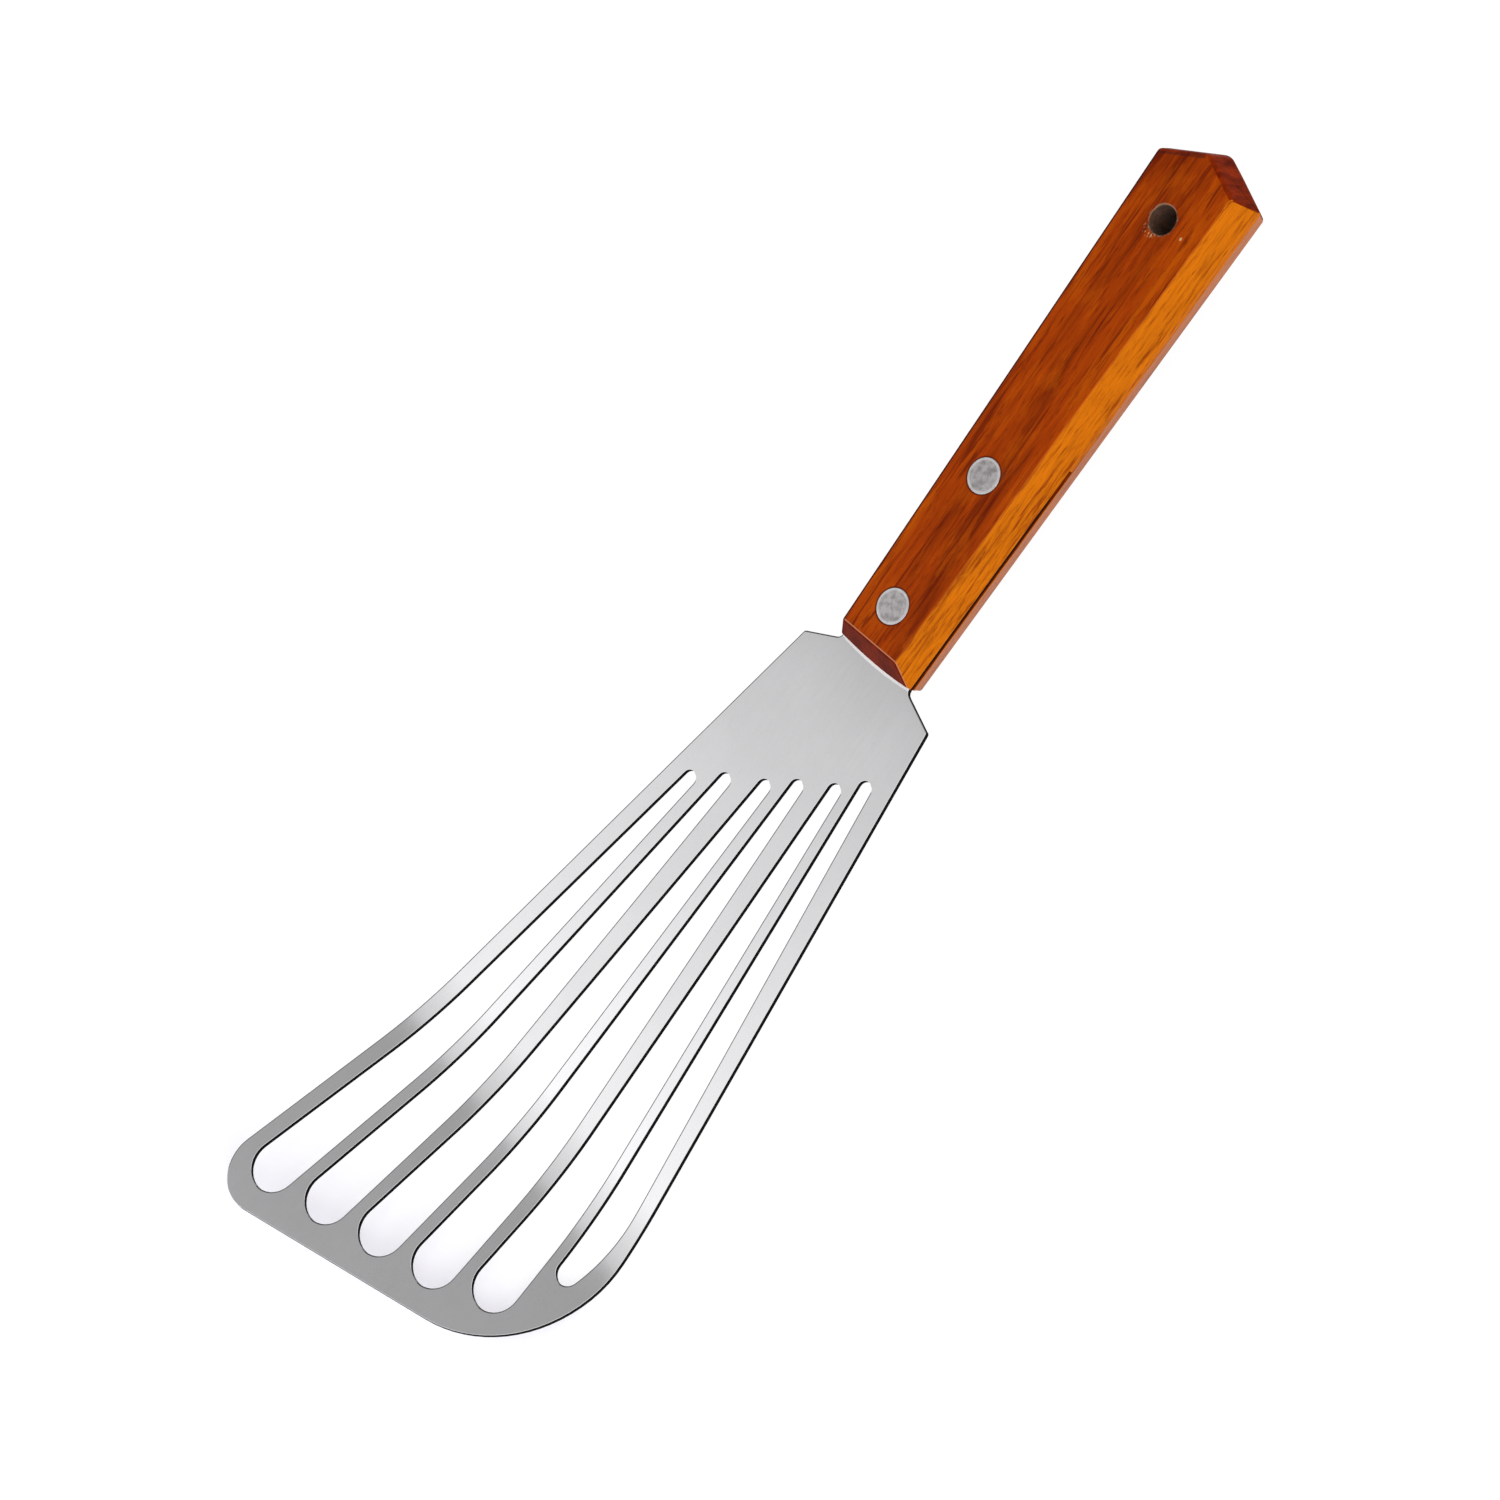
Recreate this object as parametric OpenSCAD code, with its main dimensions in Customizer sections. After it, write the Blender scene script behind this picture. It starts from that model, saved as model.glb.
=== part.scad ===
// Fish spatula: a thin slotted steel blade with a turned-up front, held by its
// tang in the saw cut of a one-piece wooden handle with two two-part rivets.
// The origin is the centre of the hanging hole, on the mid-plane of the steel.
// +X runs to the blade's tip, +Z is the side the turned-up front faces.
// The blade is drawn as a flat pattern, and fold_pts() lays each point where
// it comes to lie, seen from above, once the sheet is bent.

/* [Sheet] */
// Thickness of the steel sheet
sheet_t = 1.0; // [0.8:0.1:1.4]
// How far the front of the blade turns up, in degrees
bend_angle = 14; // [8:1:20]
// Radius of the bend, on the upper face
bend_r = 100; // [60:5:140]
// Distance from the hanging hole to the start of the bend
bend_x = 227.6; // [215:0.2:235]
// Slant of the bend line, in degrees
bend_slant = 5.6; // [0:0.2:8]

/* [Blade outline] */
// Gap between the handle's front and the narrow end of the shoulders
neck_gap = 0.4; // [0.2:0.1:2]
// Length of the sloping shoulders
shoulder_l = 3.9; // [2:0.1:8]
// Half width of the long side at the shoulder
shoulder_long = 19.5; // [16:0.1:22]
// Half width of the short side at the shoulder
shoulder_short = 20.7; // [18:0.1:24]
// Flare of the long side, in degrees
flare_long = 12.4; // [10:0.1:14]
// Flare of the short side, in degrees
flare_short = 6.4; // [5:0.1:8]
// Distance from the hanging hole to the front edge, on the centre line
front_x = 284.5; // [275:0.5:295]
// Slant of the front edge, in degrees
front_slant = 12.9; // [8:0.1:16]
// Radius of the long side's front corner
long_corner_r = 9.6; // [6:0.1:12]
// Radius of the short side's large front corner
short_corner_r = 35.4; // [30:0.1:38]
// Radius of the hollow between neck and shoulder
neck_fillet_r = 1.5; // [0.5:0.1:2.5]
// Radius of the shoulder's outer corners
shoulder_corner_r = 0.8; // [0.4:0.1:1.5]

/* [Slots] */
// Width of a slot at its rear end
slot_rear_w = 3.5; // [3:0.1:4]
// Width of a slot at its front end
slot_front_w = 12.0; // [10:0.1:12.4]
// Distance from the hanging hole to the first slot's rear centre
row_x = 156.2; // [150:0.2:160]
// How much nearer to the handle each next slot starts
row_step = 4.7; // [3:0.1:6]
// Sideways place of the first slot's rear centre
row_y = -22.8; // [-23:0.1:-22]
// Sideways step from one rear centre to the next
row_pitch = 9.0; // [8.6:0.1:9.2]
// How much that step shrinks with each slot
row_shrink = 0.23; // [0.2:0.01:0.3]
// Sideways shift that pairs the slots at their rear ends
row_pair = 0.5; // [0:0.1:0.8]
// Sideways place of the first slot's front centre
end_y = -46.2; // [-47:0.1:-45]
// Sideways step from one front centre to the next
end_pitch = 16.0; // [15:0.1:16.4]
// How much that step shrinks with each slot
end_shrink = 0.12; // [0:0.01:0.2]
// Steel left between the slots and the front edge
front_rim = 5.8; // [4:0.1:8]
// Steel left between the fifth slot and the large corner
corner_rim = 5.2; // [4:0.1:7]
// Distance from the hanging hole to where the last slot's outer side starts to bow
last_bow_x = 235.8; // [230:0.2:240]
// Radius of that bow
last_bow_r = 54; // [45:1:70]
// Width of the last slot's rounded front end
last_end_w = 6.0; // [5:0.1:6.4]
// Direction of the last slot's inner side, in degrees
last_inner = 4.5; // [4:0.1:5]
// Direction of the last slot's outer side, in degrees
last_outer = 7.1; // [6.5:0.1:7.5]

/* [Handle] */
// Thickness of the handle
handle_t = 15; // [13:0.5:18]
// Distance from the hanging hole to the handle's front
handle_front = 110.8; // [105:0.2:111]
// Distance from the hanging hole to the handle's rear point
handle_rear = 18.6; // [15:0.1:22]
// Width of the flat top face at the front
top_w = 16.9; // [15:0.1:19]
// How far each side ridge stands out past the top face
ridge_out = 3.0; // [2:0.1:4]
// Flare of each side towards the rear, in degrees
handle_flare = 1.17; // [0:0.01:2]
// Height of the blunt strip along each side ridge
ridge_blunt = 1.6; // [1.4:0.1:2.4]
// Slope of the bevel on the upper front, in degrees
bevel_angle = 30; // [20:1:40]
// Radius of the bulge of the front end, seen from above
front_bulge_r = 80; // [60:5:150]
// Angle of the two rear end cuts, in degrees
gable_angle = 24; // [15:1:35]
// Lean of the rear end cuts, in degrees
gable_lean = 15; // [5:1:20]
// Diameter of the hanging hole
hang_d = 6.4; // [5:0.1:8]

/* [Tang and rivets] */
// Length of the saw cut, from the handle's front
kerf_l = 57.5; // [56:0.1:62]
// Length of the tang inside the handle
tang_l = 51.4; // [51:0.1:53]
// Room above and below the tang in the saw cut
kerf_gap = 0.1; // [0.05:0.05:0.2]
// How far the tang's edges lie inside the handle's sides
tang_inset = 0.5; // [0.2:0.1:1]
// Distance from the handle's front to the front rivet
front_rivet_in = 13.0; // [11:0.1:13.4]
// Distance from one rivet to the other
rivet_pitch = 33.4; // [24:0.1:34]
// Diameter of the rivet heads
rivet_head_d = 8; // [7:0.5:9]
// Thickness of the rivet heads
rivet_head_t = 1.6; // [1:0.1:2]
// Outer diameter of the hollow rivet's sleeve
sleeve_d = 5; // [4.5:0.1:5.5]
// Diameter of the solid rivet's post
post_d = 3.2; // [2.6:0.1:3.4]

/* [Hidden] */

$fn = 96;
// Number of slots, of which the last has an outline of its own
slot_n = 6;
// Points along each rounded corner of the flat pattern
arc_n = 16;
// Room round a rivet part in the wood and in the steel
rivet_gap = 0.05;
// Room round the post inside the sleeve
post_gap = 0.02;
// Room between the sleeve's mouth and the post's head
sleeve_gap = 0.4;
// Solid steel left at the closed end of the sleeve
sleeve_floor = 1.0;
// Radius of the tang's two rear corners
tang_corner_r = 2;
// Reach of the blocks that cut the handle to shape
far = 200;
// Number of flats that the large bend is made of
bend_n = 20;

steel = "#c6c7c9";
wood = "#b5520f";
rivet_steel = "#a9a8a6";

half_t = handle_t / 2;
top_half = top_w / 2;
ridge_half = top_half + ridge_out;
side_lean = atan(ridge_out * cos(handle_flare) / half_t);
neck_x = handle_front + neck_gap;
kerf_end = handle_front - kerf_l;
tang_end = handle_front - tang_l;
front_rivet_x = handle_front - front_rivet_in;
rear_rivet_x = front_rivet_x - rivet_pitch;
rear_r = slot_rear_w / 2;
front_r = slot_front_w / 2;
last_end_r = last_end_w / 2;

// Unit vector in the direction a, in degrees from +X
function dir(a) = [cos(a), sin(a)];
// The vector v turned a quarter turn to the left
function left(v) = [-v[1], v[0]];
// Where the line through p along u meets the line through q along v
function meet(p, u, q, v) = p + u * (((q - p) * left(v)) / (u * left(v)));
// Points round the centre c from the direction a to the direction b
function arc(c, r, a, b, n = arc_n) = [for (i = [0:n]) c + r * dir(a + (b - a) * i / n)];
// The turn from one direction to another, between -180 and 180 degrees
function turn(a, b) = let (d = b - a) d - 360 * round(d / 360);
// Direction of the vector v
function heading(v) = atan2(v[1], v[0]);

// Points of the corner p between its neighbours a and b, rounded to r
function corner(a, p, b, r) =
    let (ua = (a - p) / norm(a - p), ub = (b - p) / norm(b - p))
    let (half = acos(ua * ub) / 2, c = p + (ua + ub) / norm(ua + ub) * r / sin(half))
    let (ta = p + ua * r / tan(half), tb = p + ub * r / tan(half))
    arc(c, r, heading(ta - c), heading(ta - c) + turn(heading(ta - c), heading(tb - c)));

// The closed outline through the points ps, each rounded to its radius in rs
function rounded(ps, rs) = let (n = len(ps))
    [for (i = [0:n - 1]) each corner(ps[(i + n - 1) % n], ps[i], ps[(i + 1) % n], rs[i])];

// The bend: the way across it, the start of it, and its length on the sheet
bend_dir = dir(-bend_slant);
bend_start = [bend_x, 0];
bend_l = bend_r * bend_angle * PI / 180;
bend_sin = bend_r * sin(bend_angle);
// Places along bend_dir where a straight edge needs a point of its own
fold_marks = [bend_l * 0.33, bend_l * 0.73, bend_l * 1.13];

// How far the flat point p lies past the start of the bend
function past_bend(p) = (p - bend_start) * bend_dir;
// The same distance seen from above, once the sheet is bent
function seen(s) = s <= 0 ? s
    : s < bend_l ? bend_r * sin(s * 180 / (PI * bend_r))
    : bend_sin + (s - bend_l) * cos(bend_angle);
function fold_pt(p) = let (s = past_bend(p)) p + bend_dir * (seen(s) - s);
// Points where the edge from p to q crosses the bend's marks, in order
function crossings(p, q) =
    let (s = past_bend(p), e = past_bend(q), n = len(fold_marks))
    [for (i = [0:n - 1]) let (m = fold_marks[e > s ? i : n - 1 - i])
        if ((m - s) * (m - e) < 0) p + (q - p) * (m - s) / (e - s)];
function fold_pts(ps) = let (n = len(ps))
    [for (i = [0:n - 1]) each [for (q = concat([ps[i]], crossings(ps[i], ps[(i + 1) % n]))) fold_pt(q)]];

// Corners of the flat outline, from the tang's end round by the short side
long_shoulder = [neck_x + shoulder_l, -shoulder_long];
short_shoulder = [neck_x + shoulder_l, shoulder_short];
front_mid = [front_x, 0];
front_dir = dir(90 + front_slant);
long_dir = dir(-flare_long);
short_dir = dir(flare_short);
long_tip = meet(long_shoulder, long_dir, front_mid, front_dir);
short_tip = meet(short_shoulder, short_dir, front_mid, front_dir);
// Half width of the tang at the distance x from the hanging hole
function tang_half(x) = ridge_half - tang_inset + (handle_front - x) * tan(handle_flare);
blade_corners = [
    [tang_end, -tang_half(tang_end)], [neck_x, -tang_half(neck_x)], long_shoulder, long_tip,
    short_tip, short_shoulder, [neck_x, tang_half(neck_x)], [tang_end, tang_half(tang_end)]];
blade_radii = [
    tang_corner_r, neck_fillet_r, shoulder_corner_r, long_corner_r,
    short_corner_r, shoulder_corner_r, neck_fillet_r, tang_corner_r];

// Centre of the large corner's arc
tip_angle = turn(flare_short, 90 + front_slant);
short_centre = short_tip + dir(flare_short + 180 + tip_angle / 2) * short_corner_r / sin(tip_angle / 2);

// Rear centre of the slot i
function slot_rear(i) = [row_x - row_step * i,
    row_y + i * (row_pitch - row_shrink * i) + (i % 2 == 0 ? row_pair : -row_pair)];
// Front centre of the slot i, set back from the front edge and the large corner
function slot_front(i) =
    let (y = end_y + i * (end_pitch - end_shrink * i))
    let (edge = front_x - y * tan(front_slant) - (front_r + front_rim) / cos(front_slant))
    let (reach = short_corner_r - corner_rim - front_r, side = y - short_centre[1])
    let (round_edge = short_centre[0] + sqrt(max(0, reach * reach - side * side)))
    [side > 0 ? min(edge, round_edge) : edge, y];

// Outline of a tapered slot: two round ends and the lines that touch both
function slot_pts(c, d, r, s) =
    let (a = heading(d - c), t = 90 + asin((s - r) / norm(d - c)))
    concat(arc(c, r, a + t, a + 360 - t), arc(d, s, a - t, a + t));

// The last slot: two straight sides, the outer one bowing in to a small round end
last_rear = slot_rear(slot_n - 1);
inner_dir = dir(last_inner);
outer_dir = dir(last_outer);
outer_pt = last_rear + rear_r * left(outer_dir);
bow_start = outer_pt + outer_dir * (last_bow_x - outer_pt[0]) / outer_dir[0];
bow_centre = bow_start - last_bow_r * left(outer_dir);
// Centre of the front end, which touches the inner side and the bow
end_line = last_rear + (last_end_r - rear_r) * left(inner_dir);
end_off = (bow_centre - end_line) * left(inner_dir);
end_reach = last_bow_r - last_end_r;
last_end = bow_centre - end_off * left(inner_dir) + inner_dir * sqrt(end_reach * end_reach - end_off * end_off);
bow_end = heading(last_end - bow_centre);
last_slot_pts = concat(
    arc(last_rear, rear_r, last_outer + 90, last_inner + 270),
    arc(last_end, last_end_r, last_inner - 90, bow_end),
    arc(bow_centre, last_bow_r, bow_end, last_outer + 90));

module folded(ps) polygon(fold_pts(ps));

module blade_plan() {
    difference() {
        folded(rounded(blade_corners, blade_radii));
        for (i = [0:slot_n - 2]) folded(slot_pts(slot_rear(i), slot_front(i), rear_r, front_r));
        folded(last_slot_pts);
    }
}

// Point of the bent sheet's section, s past the start of the bend and z above mid-plane
function section_pt(s, z) = let (a = s * 180 / (PI * bend_r))
    s <= 0 ? [s, z]
    : s <= bend_l ? [(bend_r - z) * sin(a), bend_r - (bend_r - z) * cos(a)]
    : section_pt(bend_l, z) + (s - bend_l) * dir(bend_angle);
// Places along the sheet where its section has a point
section_marks = [-far, for (i = [0:bend_n]) bend_l * i / bend_n, far];
function section_side(z) = [for (s = section_marks) section_pt(s, z)];
function backwards(ps) = [for (i = [len(ps) - 1:-1:0]) ps[i]];

// The bent sheet, wider and longer than the blade: flat, curved and flat again
module bent_sheet() {
    translate([bend_x, 0, 0]) rotate([0, 0, -bend_slant]) rotate([90, 0, 0])
        linear_extrude(height = far, center = true)
            polygon(concat(section_side(-sheet_t / 2), backwards(section_side(sheet_t / 2))));
}

module blade() {
    color(steel) difference() {
        intersection() {
            bent_sheet();
            translate([0, 0, -half_t]) linear_extrude(height = far / 2) blade_plan();
        }
        for (x = [rear_rivet_x, front_rivet_x]) translate([x, 0, -half_t]) cylinder(h = handle_t, d = sleeve_d + 2 * rivet_gap);
    }
}

// Cuts away what lies past one sloping side of the handle's upper half
module side_cut() {
    translate([handle_front, ridge_half, 0]) rotate([0, 0, -handle_flare]) rotate([side_lean, 0, 0])
        translate([-far, 0, -far / 2]) cube([2 * far, far, far]);
}

// Cuts away what lies past one of the rear end's cuts
module gable_cut() {
    translate([-handle_rear, 0, 0]) rotate([0, 0, gable_angle]) rotate([0, gable_lean, 0])
        translate([-far, -far / 2, -far / 2]) cube(far);
}

// The same cut on both sides, above and below
module four_ways() {
    for (y = [0, 1], z = [0, 1]) mirror([0, y, 0]) mirror([0, 0, z]) children();
}

module handle_block() {
    blunt_half = ridge_half - ridge_blunt / 2 * tan(side_lean);
    rear_half = blunt_half + (handle_front + handle_rear) * tan(handle_flare);
    intersection() {
        translate([0, 0, -half_t]) linear_extrude(height = handle_t)
            polygon([[handle_front, -blunt_half], [handle_front, blunt_half],
                [-handle_rear, rear_half], [-handle_rear, -rear_half]]);
        translate([handle_front - front_bulge_r, 0, -half_t]) cylinder(h = handle_t, r = front_bulge_r, $fn = 360);
    }
}

module rivet_bore(x) {
    translate([x, 0, -half_t]) cylinder(h = handle_t, d = sleeve_d + 2 * rivet_gap);
    for (z = [0, 1]) mirror([0, 0, z]) translate([x, 0, half_t - rivet_head_t])
        cylinder(h = rivet_head_t + 1, d = rivet_head_d + 2 * rivet_gap);
}

module handle() {
    kerf_t = sheet_t + 2 * kerf_gap;
    color(wood) difference() {
        handle_block();
        four_ways() side_cut();
        four_ways() gable_cut();
        translate([handle_front, 0, kerf_t / 2]) rotate([0, -bevel_angle, 0]) translate([0, -far / 2, 0]) cube(far);
        translate([kerf_end, -far / 2, -kerf_t / 2]) cube([far, far, kerf_t]);
        translate([0, 0, -half_t]) cylinder(h = handle_t, d = hang_d);
        rivet_bore(rear_rivet_x);
        rivet_bore(front_rivet_x);
    }
}

// Solid half of a rivet: a flush head on the upper face and a post
module rivet_post(x) {
    post_l = handle_t - 2 * rivet_head_t - sleeve_floor - sleeve_gap;
    color(rivet_steel) translate([x, 0, 0]) {
        translate([0, 0, half_t - rivet_head_t]) cylinder(h = rivet_head_t, d = rivet_head_d);
        translate([0, 0, half_t - rivet_head_t - post_l]) cylinder(h = post_l, d = post_d);
    }
}

// Hollow half of a rivet: a flush head on the lower face and a sleeve
module rivet_sleeve(x) {
    sleeve_l = handle_t - 2 * rivet_head_t - sleeve_gap;
    color(rivet_steel) translate([x, 0, -half_t]) difference() {
        union() {
            cylinder(h = rivet_head_t, d = rivet_head_d);
            translate([0, 0, rivet_head_t]) cylinder(h = sleeve_l, d = sleeve_d);
        }
        translate([0, 0, rivet_head_t + sleeve_floor]) cylinder(h = sleeve_l, d = post_d + 2 * post_gap);
    }
}

module front_rivet_post() { rivet_post(front_rivet_x); }
module front_rivet_sleeve() { rivet_sleeve(front_rivet_x); }
module rear_rivet_post() { rivet_post(rear_rivet_x); }
module rear_rivet_sleeve() { rivet_sleeve(rear_rivet_x); }

blade();
handle();
front_rivet_post();
front_rivet_sleeve();
rear_rivet_post();
rear_rivet_sleeve();
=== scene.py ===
"""Fish spatula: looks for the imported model, seen from the photograph's angle."""
import logging
import math
from dataclasses import dataclass, field
from enum import Enum

import bmesh
import bpy
import numpy as np
from mathutils import Matrix, Vector
from mathutils.geometry import delaunay_2d_cdt


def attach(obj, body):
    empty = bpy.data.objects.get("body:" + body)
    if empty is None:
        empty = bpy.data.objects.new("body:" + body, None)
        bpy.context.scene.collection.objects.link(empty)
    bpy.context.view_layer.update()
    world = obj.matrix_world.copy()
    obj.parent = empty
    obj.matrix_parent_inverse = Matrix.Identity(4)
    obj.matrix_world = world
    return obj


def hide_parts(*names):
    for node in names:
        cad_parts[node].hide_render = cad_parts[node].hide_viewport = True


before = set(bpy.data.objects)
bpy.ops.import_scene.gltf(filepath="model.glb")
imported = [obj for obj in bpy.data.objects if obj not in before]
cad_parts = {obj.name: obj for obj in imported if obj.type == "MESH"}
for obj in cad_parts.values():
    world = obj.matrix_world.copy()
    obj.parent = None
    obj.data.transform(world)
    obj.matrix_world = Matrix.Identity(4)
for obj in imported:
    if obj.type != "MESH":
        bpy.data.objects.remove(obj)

LOG = logging.getLogger("spatula")
MM = 0.001
RIVET_X = (64.4, 97.8)
RIVET_HOLE_RADIUS = 2.55


class Finish(Enum):
    """The finishes of the tool's pieces."""

    SATIN_STEEL = "satin steel"
    CUT_EDGE = "cut edge"
    LACQUERED_WOOD = "lacquered wood"
    RIVET_STEEL = "rivet steel"


class Nodes:
    """A material's or world's node tree, with short ways to add to it."""

    def __init__(self, tree: bpy.types.NodeTree) -> None:
        """Clears the tree and keeps it."""
        self.tree = tree
        tree.nodes.clear()

    def add(self, kind: str, **inputs: object) -> bpy.types.Node:
        """Adds a node and sets or links its inputs.

        Args:
            kind: Blender's name of the node type, without "ShaderNode".
            inputs: input names with underscores for spaces; a value or an output socket.

        Returns:
            The new node.
        """
        node = self.tree.nodes.new("ShaderNode" + kind)
        for name, value in inputs.items():
            key: object = int(name[1:]) if name[0] == "i" and name[1:].isdigit() else name.replace("_", " ")
            self.set(node, key, value)
        return node

    def set(self, node: bpy.types.Node, key: object, value: object) -> None:
        """Sets an input to a value, or links an output to it."""
        if isinstance(value, bpy.types.NodeSocket):
            self.tree.links.new(value, node.inputs[key])
        else:
            node.inputs[key].default_value = value

    def math(self, operation: str, a: object, b: object = 0.0, clamp: bool = False) -> bpy.types.NodeSocket:
        """The result of a sum, product or comparison of a and b."""
        node = self.add("Math", i0=a, i1=b)
        node.operation = operation
        node.use_clamp = clamp
        return node.outputs[0]

    def ramp(self, value: object, *stops: tuple[float, tuple[float, ...]]) -> bpy.types.NodeSocket:
        """A colour that changes with value, through stops of (place, colour)."""
        node = self.add("ValToRGB", Fac=value)
        band = node.color_ramp
        while len(band.elements) < len(stops):
            band.elements.new(0.5)
        for element, (place, colour) in zip(band.elements, stops):
            element.position = place
            element.color = (*colour[:3], 1.0)
        return node.outputs[0]

    def spread(self, value: object, low: float, high: float) -> bpy.types.NodeSocket:
        """Value moved so that low becomes 0 and high becomes 1, with soft ends."""
        node = self.add("MapRange", i0=value, i1=low, i2=high)
        node.interpolation_type = "SMOOTHSTEP"
        return node.outputs[0]

    def blend(self, share: object, a: object, b: object, way: str = "MIX") -> bpy.types.NodeSocket:
        """The colour a, turned towards b by share."""
        node = self.tree.nodes.new("ShaderNodeMix")
        node.data_type = "RGBA"
        node.blend_type = way
        for key, value in ((0, share), (6, a), (7, b)):
            value = (*value, 1.0) if isinstance(value, tuple) and len(value) == 3 else value
            self.set(node, key, value)
        return node.outputs[2]

    def place(self, scale: tuple[float, float, float], shift: tuple[float, float, float] = (0, 0, 0),
              turn: tuple[float, float, float] = (0, 0, 0)) -> bpy.types.NodeSocket:
        """Object coordinates in metres, moved, turned and stretched for a pattern."""
        where = self.add("TexCoord")
        node = self.add("Mapping", Vector=where.outputs["Object"], Scale=scale, Location=shift, Rotation=turn)
        return node.outputs[0]

    def noise(self, scale: float, stretch: tuple[float, float, float] = (1, 1, 1), detail: float = 3.0,
              rough: float = 0.55, twist: float = 0.0,
              turn: tuple[float, float, float] = (0, 0, 0)) -> bpy.types.NodeSocket:
        """Cloudy noise of so many cells a metre, stretched by axis."""
        node = self.add("TexNoise", Vector=self.place(stretch, turn=turn), Scale=scale, Detail=detail,
                        Roughness=rough, Distortion=twist)
        return node.outputs[0]

    def bump(self, height: object, depth: float, strength: float = 1.0, over: object = None) -> bpy.types.NodeSocket:
        """A normal with the height laid over it, depth in metres."""
        node = self.add("Bump", Height=height, Distance=depth, Strength=strength)
        if over is not None:
            self.set(node, "Normal", over)
        return node.outputs[0]

    def times(self, a: object, b: object) -> bpy.types.NodeSocket:
        """The product of a and b."""
        return self.math("MULTIPLY", a, b)

    def where(self) -> bpy.types.Node:
        """The place on the piece, as X, Y and Z outputs in metres."""
        return self.add("SeparateXYZ", Vector=self.add("TexCoord").outputs["Object"])

    def facing(self) -> bpy.types.Node:
        """The way a face points, as X, Y and Z outputs."""
        return self.add("SeparateXYZ", Vector=self.add("NewGeometry").outputs["True Normal"])

    def around(self, where: bpy.types.Node, x: float, y: float = 0.0,
               stretch: float = 1.0) -> bpy.types.NodeSocket:
        """Distance in plan from the point x, y, with the X part stretched."""
        dx = self.times(self.math("SUBTRACT", where.outputs[0], x), stretch)
        dy = self.math("SUBTRACT", where.outputs[1], y)
        flat = self.add("CombineXYZ", X=dx, Y=dy)
        reach = self.add("VectorMath", i0=flat.outputs[0])
        reach.operation = "LENGTH"
        return reach.outputs["Value"]


def new_material(name: str) -> tuple[bpy.types.Material, Nodes]:
    """An empty material and its nodes."""
    made = bpy.data.materials.new(name)
    made.use_nodes = True
    return made, Nodes(made.node_tree)


@dataclass(frozen=True)
class SteelFinish:
    """Satin stainless sheet: fine grain along the blade and faint clouds."""

    colour: tuple[float, float, float] = (0.78, 0.775, 0.78)
    # painted sheen: the lighter tone laid on some bars near the bend, standing in for their reflection
    painted_sheen_tone: tuple[float, float, float] = (0.94, 0.93, 0.94)
    roughness: float = 0.105
    # painted shade: dark grey for upper edges turned away, to -X and -Y
    rolled: tuple[float, float, float] = (0.16, 0.16, 0.165)
    # painted glint: near white for upper edges turned to +Y
    painted_glint: tuple[float, float, float] = (0.98, 0.98, 0.98)
    # pale tone of a thin band on the blade at the handle's front end
    neck_band_tone: tuple[float, float, float] = (0.93, 0.92, 0.91)
    neck: tuple[float, float] = (0.0308, 0.0800)

    def material(self) -> bpy.types.Material:
        """Builds the material."""
        made, n = new_material(Finish.SATIN_STEEL.value)
        cloud = n.noise(55, detail=4)
        grain = n.noise(900, (0.12, 1, 1), 4, 0.7)
        speck = n.noise(1500, detail=2)
        tone = n.blend(n.spread(cloud, 0.3, 0.7), tuple(c * 0.96 for c in self.colour), self.colour)
        # painted sheen: each point's share of the lighter tone, read from the mesh
        painted_sheen = n.add("Attribute")
        painted_sheen.attribute_name = "painted_sheen"
        tone = n.blend(painted_sheen.outputs["Fac"], tone, self.painted_sheen_tone)
        tone = n.blend(n.times(n.spread(speck, 0.55, 0.8), 0.16), tone, tuple(c * 0.7 for c in self.colour))
        where = n.where()
        # a thin pale, non-metallic band on the blade along the handle's front end
        past = n.math("SUBTRACT", n.around(where, self.neck[0]), self.neck[1])
        ground = n.times(n.spread(past, 0.0008, 0.0005), n.spread(where.outputs[0], 0.105, 0.109))
        ground = n.times(ground, n.spread(n.math("ABSOLUTE", where.outputs[1]), 0.0118, 0.0108))
        tone = n.blend(ground, tone, self.neck_band_tone)
        facing = n.facing()
        # painted shade: upper edges turned away, to -X and -Y, are coloured dark grey
        away = n.math("ADD", n.times(facing.outputs[0], -0.5), n.times(facing.outputs[1], -0.87))
        up = n.spread(facing.outputs[2], 0.2, 0.3)
        tone = n.blend(n.times(n.spread(away, 0.2, 0.3), up), tone, self.rolled)
        # painted glint: upper edges turned to +Y are coloured near white
        tone = n.blend(n.times(n.spread(facing.outputs[1], 0.2, 0.3), up), tone, self.painted_glint)
        rough = n.math("ADD", n.times(n.spread(grain, 0.3, 0.7), 0.05), self.roughness - 0.02)
        shader = n.add("BsdfPrincipled", Base_Color=tone, Metallic=n.math("SUBTRACT", 1.0, ground), Roughness=rough,
                       Normal=n.bump(grain, 0.000003, 0.3))
        n.add("OutputMaterial", Surface=shader.outputs[0])
        return made


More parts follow.
